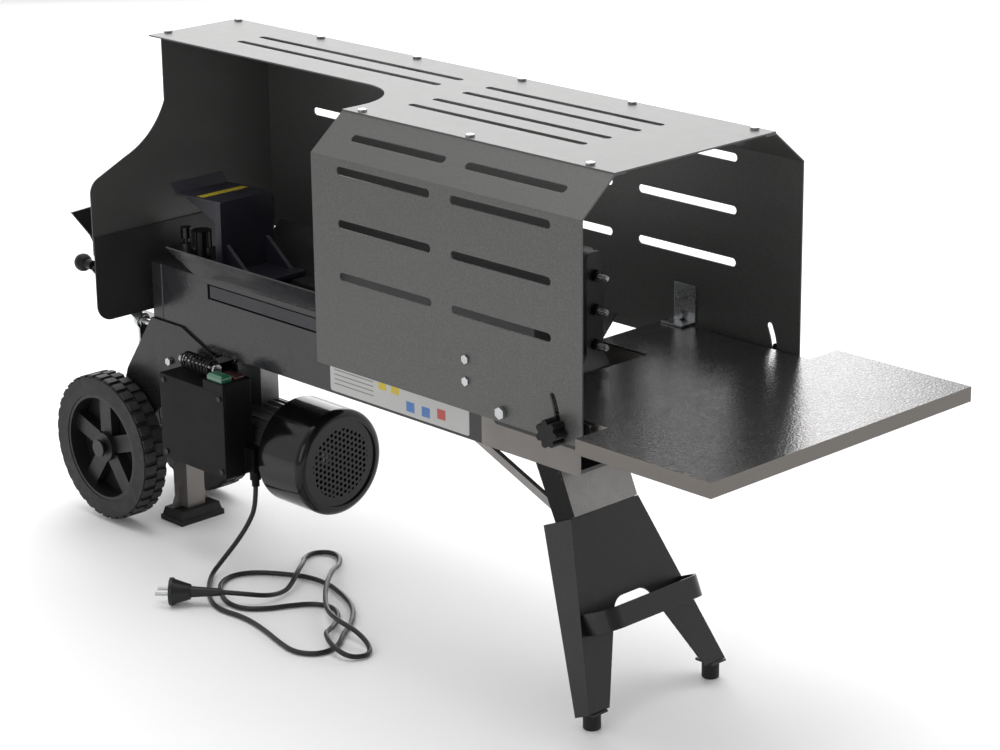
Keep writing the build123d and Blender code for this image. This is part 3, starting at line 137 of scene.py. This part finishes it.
def mixColor(tree, factor, a, b):
    # a where the factor is 0, b where it is 1; each is a plain colour or another node's result
    node = tree.nodes.new("ShaderNodeMix")
    node.data_type = "RGBA"
    for socket, value in ((node.inputs["A"], a), (node.inputs["B"], b)):
        if isinstance(value, tuple):
            socket.default_value = (*value, 1)
        else:
            tree.links.new(value, socket)
    tree.links.new(factor, node.inputs["Factor"])
    return node.outputs["Result"]


def bump(tree, height, strength, distance, normal=None):
    node = tree.nodes.new("ShaderNodeBump")
    node.inputs["Strength"].default_value = strength
    node.inputs["Distance"].default_value = distance
    tree.links.new(height, node.inputs["Height"])
    if normal:
        tree.links.new(normal, node.inputs["Normal"])
    return node.outputs["Normal"]


# what all finishes share; a noise is its scale, its detail and, where a third is given, its roughness
skin = {"tone": (14.0, 4.0), "film": (55.0, 6.0, 0.65), "patches": (48.0, 5.0, 0.6),
        "speckDetail": 1.0, "peelDetail": 2.0, "speckFrom": 0.50, "speckTo": 0.62,
        "speckLift": 2.1, "speckAdd": 0.02, "dustFrom": 0.5, "dustTo": 0.75,
        "dustColor": (0.30, 0.29, 0.27), "coatRough": 0.12, "edgeSamples": 4}


def surface(name, color, rough, metal=0.0, peel=420.0, peelDepth=0.0002, vary=0.12, roughVary=0.06,
            coat=0.0, edge=0.0008, speck=0.0, dust=0.0, gloss=0.5, paint=None, peelStrength=0.35,
            grain=900.0):
    # a painted, moulded or plated surface: soft edges, fine peel and uneven gloss,
    # with paint(tree, coord, tone) laid over the tone where one is given
    material, tree, shader, coord = newMaterial(name)
    broad = noise(tree, coord, *skin["tone"])
    dark = tuple(c * (1 - vary) for c in color)
    pale = tuple(min(1.0, c * (1 + vary)) for c in color)
    tone = mixColor(tree, spread(tree, broad, 0.0, 1.0), dark, pale)
    if speck:
        specks = noise(tree, coord, grain, skin["speckDetail"])
        tone = mixColor(tree, spread(tree, specks, 0.0, speck, skin["speckFrom"], skin["speckTo"]), tone,
                        tuple(min(1.0, c * skin["speckLift"] + skin["speckAdd"]) for c in color))
    if paint:
        tone = paint(tree, coord, tone)
    if dust:
        film = noise(tree, coord, *skin["film"])
        settled = spread(tree, film, 0.0, dust, skin["dustFrom"], skin["dustTo"])
        tone = mixColor(tree, settled, tone, skin["dustColor"])
    tree.links.new(tone, shader.inputs["Base Color"])
    patches = noise(tree, coord, *skin["patches"])
    tree.links.new(spread(tree, patches, rough - roughVary, rough + roughVary), shader.inputs["Roughness"])
    shader.inputs["Metallic"].default_value = metal
    shader.inputs["Specular IOR Level"].default_value = gloss
    shader.inputs["Coat Weight"].default_value = coat
    shader.inputs["Coat Roughness"].default_value = skin["coatRough"]
    bevel = None
    if edge:
        soft = tree.nodes.new("ShaderNodeBevel")
        soft.samples = skin["edgeSamples"]
        soft.inputs["Radius"].default_value = edge
        bevel = soft.outputs["Normal"]
    height = noise(tree, coord, peel, skin["peelDetail"])
    tree.links.new(bump(tree, height, peelStrength, peelDepth, bevel), shader.inputs["Normal"])
    return material


def axisValue(tree, vector, axis):
    # one of the three numbers of a position or a normal
    node = tree.nodes.new("ShaderNodeSeparateXYZ")
    tree.links.new(vector, node.inputs[0])
    return node.outputs[axis]


def axisSize(tree, vector, axis):
    # the same number without its sign
    node = tree.nodes.new("ShaderNodeMath")
    node.operation = "ABSOLUTE"
    tree.links.new(axisValue(tree, vector, axis), node.inputs[0])
    return node.outputs[0]


def faceSide(tree, axis, start, end):
    # 0 to 1 as the face turns towards an axis, either way
    normal = tree.nodes.new("ShaderNodeNewGeometry").outputs["True Normal"]
    return spread(tree, axisSize(tree, normal, axis), 0.0, 1.0, start, end)


def within(tree, coord, axis, low, high, fade=0.0004):
    # 1 between two places along an axis, 0 outside, with a short fade
    value = axisValue(tree, coord, axis)
    rise = spread(tree, value, 0.0, 1.0, low - fade, low + fade)
    fall = spread(tree, value, 1.0, 0.0, high - fade, high + fade)
    return times(tree, rise, fall)


def times(tree, a, b):
    node = tree.nodes.new("ShaderNodeMath")
    node.operation = "MULTIPLY"
    tree.links.new(a, node.inputs[0])
    tree.links.new(b, node.inputs[1])
    return node.outputs[0]


tableSet = {"rubNoise": (9.0, 8.0, 0.7), "rubs": 0.22, "rubFrom": 0.55, "rubTo": 0.75,
            "rubColor": (0.42, 0.41, 0.40), "rimColor": (0.150, 0.138, 0.128)}


def tablePaint(tree, coord, tone):
    # the folded rim is plain brownish sheet, and wear shows as paler rubs on the top
    rubs = noise(tree, coord, *tableSet["rubNoise"])
    rubbed = spread(tree, rubs, 0.0, tableSet["rubs"], tableSet["rubFrom"], tableSet["rubTo"])
    worn = mixColor(tree, rubbed, tone, tableSet["rubColor"])
    return mixColor(tree, faceSide(tree, "Z", 0.4, 0.6), tableSet["rimColor"], worn)


bracketSet = {"cheekFrom": 0.0563, "cheekTo": 0.0568, "cheekColor": (0.006, 0.006, 0.006)}


def bracketPaint(tree, coord, tone):
    # bare sheet on the face and the struts, black on the two cheeks
    outer = spread(tree, axisSize(tree, coord, "Y"), 0.0, 1.0, bracketSet["cheekFrom"], bracketSet["cheekTo"])
    cheek = times(tree, faceSide(tree, "Y", 0.6, 0.9), outer)
    return mixColor(tree, cheek, tone, bracketSet["cheekColor"])


traySet = {"left": -0.432, "right": -0.417, "half": 0.041, "color": (0.42, 0.33, 0.02),
           "chipNoise": (320.0, 3.0), "chipLeast": 0.35}


def trayPaint(tree, coord, tone):
    # a yellow strip across the top of the pusher's tray, a little chipped
    across = within(tree, coord, "Y", -traySet["half"], traySet["half"])
    along = within(tree, coord, "X", traySet["left"], traySet["right"])
    strip = times(tree, times(tree, along, across), faceSide(tree, "Z", 0.8, 0.9))
    chipped = spread(tree, noise(tree, coord, *traySet["chipNoise"]), 1.0, traySet["chipLeast"], 0.55, 0.75)
    return mixColor(tree, times(tree, strip, chipped), tone, traySet["color"])


boltSet = {"inner": 0.056, "outer": 0.091, "fade": 0.001, "black": (0.03, 0.03, 0.03)}


def boltPaint(tree, coord, tone):
    # the heads on the frame's two sides are bright, all others are blackened
    outward = axisSize(tree, coord, "Y")
    inner, outer, fade = boltSet["inner"], boltSet["outer"], boltSet["fade"]
    bright = times(tree, spread(tree, outward, 0.0, 1.0, inner - fade, inner + fade),
                   spread(tree, outward, 1.0, 0.0, outer - fade, outer + fade))
    return mixColor(tree, bright, boltSet["black"], tone)


labelSet = {"rulesLeft": -0.125, "rulesRight": -0.045, "rulesLow": 0.312, "rulesHigh": 0.344,
            "ruleScale": 48.0, "ruleStrength": 0.7, "ruleColor": (0.06, 0.06, 0.065),
            "patchWide": 0.016, "patchHigh": 0.014,
            "yellow": (0.55, 0.42, 0.02), "blue": (0.05, 0.16, 0.42), "red": (0.42, 0.06, 0.05)}
# left edge, low edge and colour of each patch
labelPatches = ((-0.035, 0.330, "yellow"), (-0.010, 0.330, "yellow"), (0.020, 0.312, "blue"),
                (0.050, 0.312, "blue"), (0.080, 0.316, "red"))


def labelPaint(tree, coord, tone):
    # plain grey rules on the left, plain colour patches on the right
    rules = within(tree, coord, "X", labelSet["rulesLeft"], labelSet["rulesRight"])
    wave = tree.nodes.new("ShaderNodeTexWave")
    wave.bands_direction = "Z"
    wave.inputs["Scale"].default_value = labelSet["ruleScale"]
    tree.links.new(coord, wave.inputs["Vector"])
    rows = times(tree, spread(tree, wave.outputs["Fac"], 0.0, labelSet["ruleStrength"], 0.80, 0.90), rules)
    ruled = times(tree, rows, within(tree, coord, "Z", labelSet["rulesLow"], labelSet["rulesHigh"]))
    tone = mixColor(tree, ruled, tone, labelSet["ruleColor"])
    for left, low, color in labelPatches:
        patch = times(tree, within(tree, coord, "X", left, left + labelSet["patchWide"]),
                      within(tree, coord, "Z", low, low + labelSet["patchHigh"]))
        tone = mixColor(tree, patch, tone, labelSet[color])
    return tone


# painted shade along the guard: the dimmest scale of its tone and the stretch of X it fades over
guardShadeSet = {"dimmest": 0.86, "from": -0.50, "to": 0.30}


def guardPaintWithShade(tree, coord, tone):
    # painted shade: the guard's tone is scaled down slowly along it, darker towards the wheels
    place = axisValue(tree, coord, "X")
    along = spread(tree, place, guardShadeSet["dimmest"], 1.0, guardShadeSet["from"], guardShadeSet["to"])
    shade = tree.nodes.new("ShaderNodeVectorMath")
    shade.operation = "SCALE"
    tree.links.new(tone, shade.inputs[0])
    tree.links.new(along, shade.inputs["Scale"])
    return shade.outputs[0]


finishes = {
    "frame_paint": surface("framePaint", (0.020, 0.020, 0.022), 0.20, peel=160, peelDepth=0.0004, gloss=0.42),
    "plate_paint": surface("platePaint", (0.185, 0.173, 0.163), 0.34, metal=0.5, peel=500),
    "table_paint": surface("tablePaint", (0.145, 0.142, 0.142), 0.22, metal=0.9, peel=330, roughVary=0.02,
                           peelDepth=0.0007, peelStrength=0.5, vary=0.05, speck=0.5, grain=430,
                           paint=tablePaint),
    # the guard's finish has painted shade laid along it, darker towards the wheels
    "guard_paint": surface("guardPaintWithShade", (0.086, 0.086, 0.084), 0.38, metal=0.35, peel=900, roughVary=0.01,
                           peelDepth=0.00015, vary=0.015, speck=0.25, gloss=0.4, paint=guardPaintWithShade),
    "ram_paint": surface("ramPaint", (0.017, 0.017, 0.024), 0.34, peel=300, gloss=0.35, paint=trayPaint),
    "wedge_paint": surface("wedgePaint", (0.022, 0.022, 0.023), 0.34, peel=300, peelDepth=0.0003, gloss=0.4),
    "leg_paint": surface("legPaint", (0.008, 0.008, 0.0085), 0.30, peel=240, gloss=0.42),
    "zinc": surface("zincPlate", (0.50, 0.51, 0.52), 0.28, metal=1.0, peel=900, peelDepth=0.0001, vary=0.2),
    "steel": surface("groundSteel", (0.40, 0.41, 0.42), 0.24, metal=1.0, peel=700, peelDepth=0.0001),
    "cast": surface("castPaint", (0.012, 0.012, 0.013), 0.5, peel=180, peelDepth=0.0008, gloss=0.3),
    "motor_alloy": surface("motorAlloy", (0.20, 0.20, 0.205), 0.34, metal=0.8, peel=220, peelDepth=0.0005),
    "cowl_gloss": surface("cowlGloss", (0.005, 0.005, 0.0055), 0.14, peel=90, peelDepth=0.0002, gloss=0.33),
    "box_plastic": surface("boxPlastic", (0.005, 0.005, 0.0054), 0.42, peel=1100, peelDepth=0.0003,
                           gloss=0.10, edge=0.0025),
    "knob_plastic": surface("knobPlastic", (0.006, 0.006, 0.007), 0.40, peel=900, peelDepth=0.0003,
                            gloss=0.2),
    "rim_plastic": surface("rimPlastic", (0.010, 0.010, 0.011), 0.42, peel=700, peelDepth=0.0003, gloss=0.35),
    "tyre_rubber": surface("tyreRubber", (0.016, 0.016, 0.016), 0.62, peel=600, peelDepth=0.0005, dust=0.07,
                           gloss=0.35),
    "foot_rubber": surface("footRubber", (0.011, 0.011, 0.011), 0.6, peel=600, peelDepth=0.0004, dust=0.04,
                           gloss=0.3),
    "cord_rubber": surface("cordRubber", (0.011, 0.011, 0.012), 0.38, peel=900, peelDepth=0.0002, edge=0,
                           gloss=0.4),
    "button_green": surface("buttonGreen", (0.015, 0.115, 0.060), 0.12, peel=300, peelDepth=0.0001, coat=0.8),
    "button_dark": surface("buttonDark", (0.035, 0.006, 0.006), 0.3, peel=300, peelDepth=0.0001, coat=0.3),
    "label_film": surface("labelFilm", (0.46, 0.46, 0.45), 0.35, peel=300, peelDepth=0.0001, edge=0,
                          vary=0.03, paint=labelPaint),
}
bracketFinish = surface("bracketFinish", (0.225, 0.217, 0.210), 0.26, metal=0.8, peel=500, paint=bracketPaint)
darkPanel = surface("handGuardPaint", (0.020, 0.020, 0.021), 0.4, peel=700, peelDepth=0.0002, gloss=0.35)
boltFinish = surface("boltFinish", (0.50, 0.51, 0.52), 0.3, metal=0.9, peel=900, peelDepth=0.0001,
                     paint=boltPaint)
slots = {part["node"]: part["material_slot"] for part in frame["record"]["subparts"]}
for name, node in nodes.items():
    node.data.materials.clear()
    node.data.materials.append(finishes[slots[name]])
nodes["hand_guard"].data.materials[0] = darkPanel
nodes["frame_bolts"].data.materials[0] = boltFinish
nodes["leg_bracket"].data.materials[0] = bracketFinish
curve.materials.append(finishes["cord_rubber"])
print("materials ready")


# new pieces, each a grid of points over two parameters
def gridPiece(name, points, material):
    # points is rows x columns x 3: columns close round the section, rows run along it,
    # and each end gets one flat face
    rows, columns = points.shape[:2]
    row, column = np.meshgrid(np.arange(rows - 1), np.arange(columns), indexing="ij")
    after = (column + 1) % columns
    quads = np.stack([row * columns + column, row * columns + after,
                      (row + 1) * columns + after, (row + 1) * columns + column], axis=-1).reshape(-1, 4)
    faces = quads.tolist()
    faces.append(list(range(columns - 1, -1, -1)))
    faces.append(list(range((rows - 1) * columns, rows * columns)))
    mesh = bpy.data.meshes.new(name)
    mesh.from_pydata(points.reshape(-1, 3).tolist(), [], faces)
    mesh.polygons.foreach_set("use_smooth", np.array([len(face) == 4 for face in faces]))
    mesh.materials.append(material)
    mesh.update()
    piece = bpy.data.objects.new(name, mesh)
    bpy.context.collection.objects.link(piece)
    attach(piece, "frame")


def tubeAlong(path, radius, columns):
    # a round section of a given radius at each row, square to the path's own direction;
    # its turn is taken from a fixed slant, so it twists where a path comes close to that slant
    ahead = np.gradient(path, axis=0)
    ahead /= np.linalg.norm(ahead, axis=1, keepdims=True)
    side = np.cross(ahead, np.array([0.0, 0.31, 0.95]))
    side /= np.linalg.norm(side, axis=1, keepdims=True)
    over = np.cross(ahead, side)
    angle = np.linspace(0, 2 * np.pi, columns, endpoint=False)
    ring = np.cos(angle)[None, :, None] * side[:, None] + np.sin(angle)[None, :, None] * over[:, None]
    return path[:, None] + np.broadcast_to(radius, (len(path), columns))[:, :, None] * ring


# threaded ends of the wedge bolts: radius is a sawtooth of the distance along plus the angle, so it winds
studSet = {"heights": (0.455, 0.501, 0.545), "start": 0.319, "length": 0.015, "radius": 0.0040,
           "pitch": 0.00125, "depth": 0.0006, "tip": 0.001, "tipLeast": 0.75, "rows": 90, "columns": 24}
studAlong = np.linspace(0, studSet["length"], studSet["rows"])
studAngle = np.linspace(0, 2 * np.pi, studSet["columns"], endpoint=False)
winding = (studAlong[:, None] / studSet["pitch"] + studAngle[None] / (2 * np.pi)) % 1.0
tipFade = np.clip((studSet["length"] - studAlong) / studSet["tip"], studSet["tipLeast"], 1.0)[:, None]
studRadius = (studSet["radius"] - studSet["depth"] * np.abs(2 * winding - 1)) * tipFade
for number, height in enumerate(studSet["heights"]):
    thread = np.stack([np.broadcast_to(studSet["start"] + studAlong[:, None], studRadius.shape),
                       studRadius * np.cos(studAngle), height + studRadius * np.sin(studAngle)], axis=-1)
    gridPiece("wedgeStud" + str(number + 1), thread, finishes["steel"])

# weld beads at the foot of the wedge: a fat line that wanders a little,
# with a radius that ripples in overlapping scales
beadSet = {"place": (0.3145, 0.0340, 0.4145), "run": 0.031, "sway": (0.0006, 0.0008), "waves": (23, 17),
           "radius": 0.0052, "ripple": 0.0011, "scales": 17, "taper": 0.03, "tipLeast": 0.35, "rows": 220,
           "columns": 18}
beadAlong = np.linspace(0, 1, beadSet["rows"])
swell = beadSet["radius"] + beadSet["ripple"] * (1 - ((beadSet["scales"] * beadAlong) % 1.0) ** 2)
swell = swell * np.clip(np.minimum(beadAlong, 1 - beadAlong) / beadSet["taper"], beadSet["tipLeast"], 1)
for beadSide in (-1, 1):
    bead = np.stack([beadSet["place"][0] + beadSet["sway"][0] * np.sin(beadSet["waves"][0] * beadAlong),
                     beadSide * (beadSet["place"][1] - beadSet["run"] * beadAlong),
                     beadSet["place"][2] + beadSet["sway"][1] * np.sin(beadSet["waves"][1] * beadAlong + 1)],
                    axis=-1)
    gridPiece("weldBead" + ("Front" if beadSide < 0 else "Rear"),
              tubeAlong(bead, swell[:, None], beadSet["columns"]), finishes["steel"])

# the valve's return spring above the switch box: a wire wound round a line, its coils closer at both ends
springSet = {"start": (-0.424, -0.078, 0.2885), "length": 0.062, "radius": 0.0115, "wire": 0.0014, "turns": 9,
             "ease": 0.45, "rows": 330, "columns": 10}
springStart, springLength = springSet["start"], springSet["length"]
springAlong = np.linspace(0, 1, springSet["rows"])
wound = 2 * np.pi * springSet["turns"] * springAlong
eased = 0.5 - 0.5 * np.cos(np.pi * springAlong)
reach = springSet["ease"] * eased + (1 - springSet["ease"]) * springAlong
coil = np.stack([springStart[0] + springLength * reach,
                 springStart[1] + springSet["radius"] * np.cos(wound),
                 springStart[2] + springSet["radius"] * np.sin(wound)], axis=-1)
gridPiece("valveSpring", tubeAlong(coil, springSet["wire"], springSet["columns"]), finishes["cast"])

# the spring's pin: a straight rod whose radius steps up past both ends of the spring
pinSet = {"before": 0.010, "after": 0.008, "radius": 0.0030, "headRadius": 0.0075, "rows": 24, "columns": 20}
pinAlong = np.linspace(-pinSet["before"], springLength + pinSet["after"], pinSet["rows"])
pin = np.stack([springStart[0] + pinAlong, np.full(pinSet["rows"], springStart[1]),
                np.full(pinSet["rows"], springStart[2])], axis=-1)
pastSpring = (pinAlong < 0) | (pinAlong > springLength)
pinRadius = np.where(pastSpring, pinSet["headRadius"], pinSet["radius"])[:, None]
gridPiece("springPin", tubeAlong(pin, pinRadius, pinSet["columns"]), finishes["steel"])
print("new pieces ready")

# floor and light
floorSet = {"size": 30.0, "color": (0.97, 0.97, 0.97), "rough": 0.9}
floorMesh = bpy.data.meshes.new("floor")
half = floorSet["size"] / 2
floorMesh.from_pydata([(-half, -half, 0), (half, -half, 0), (half, half, 0), (-half, half, 0)], [],
                      [(0, 1, 2, 3)])
floor = bpy.data.objects.new("floor", floorMesh)
bpy.context.collection.objects.link(floor)
floorMaterial, _, floorShader, _ = newMaterial("floor")
floorShader.inputs["Base Color"].default_value = (*floorSet["color"], 1)
floorShader.inputs["Roughness"].default_value = floorSet["rough"]
floorMesh.materials.append(floorMaterial)

world = bpy.data.worlds.new("world")
bpy.context.scene.world = world
world.use_nodes = True
studio = {"side": (0.70, -0.71, 0.05), "dim": 0.36, "bright": 1.0, "fadeFrom": -0.1, "fadeTo": 0.7,
          "backdrop": 0.95}
worldTree = world.node_tree
sky = worldTree.nodes["Background"]
sky.inputs["Color"].default_value = (1, 1, 1, 1)
# the open side of the studio is dimmer, and the backdrop as seen stays near white
toSide = worldTree.nodes.new("ShaderNodeVectorMath")
toSide.operation = "DOT_PRODUCT"
worldTree.links.new(worldTree.nodes.new("ShaderNodeTexCoord").outputs["Generated"], toSide.inputs[0])
toSide.inputs[1].default_value = studio["side"]
level = spread(worldTree, toSide.outputs["Value"], studio["bright"], studio["dim"],
               studio["fadeFrom"], studio["fadeTo"])
seen = worldTree.nodes.new("ShaderNodeMix")
lightPath = worldTree.nodes.new("ShaderNodeLightPath")
worldTree.links.new(lightPath.outputs["Is Camera Ray"], seen.inputs["Factor"])
worldTree.links.new(level, seen.inputs["A"])
seen.inputs["B"].default_value = studio["backdrop"]
worldTree.links.new(seen.outputs["Result"], sky.inputs["Strength"])

lights = {
    "top": {"place": (-0.3, 0.6, 3.2), "aim": (0, 0, 0.3), "size": 3.4, "power": 62, "shine": 0.6},
    "rear": {"place": (-3.0, 2.6, 1.8), "aim": (0, 0, 0.4), "size": 3.0, "power": 60, "shine": 1.0},
    "fill": {"place": (1.2, -3.6, 1.6), "aim": (0, 0, 0.4), "size": 2.2, "power": 26, "shine": 0.15},
}
for name, light in lights.items():
    data = bpy.data.lights.new(name, "AREA")
    data.energy = light["power"]
    data.size = light["size"]
    data.specular_factor = light["shine"]
    lamp = bpy.data.objects.new(name, data)
    bpy.context.collection.objects.link(lamp)
    lamp.location = light["place"]
    aim = Vector(light["aim"]) - Vector(light["place"])
    lamp.rotation_euler = aim.to_track_quat("-Z", "Y").to_euler()

bpy.context.scene.view_settings.view_transform = "Standard"
print("light ready")
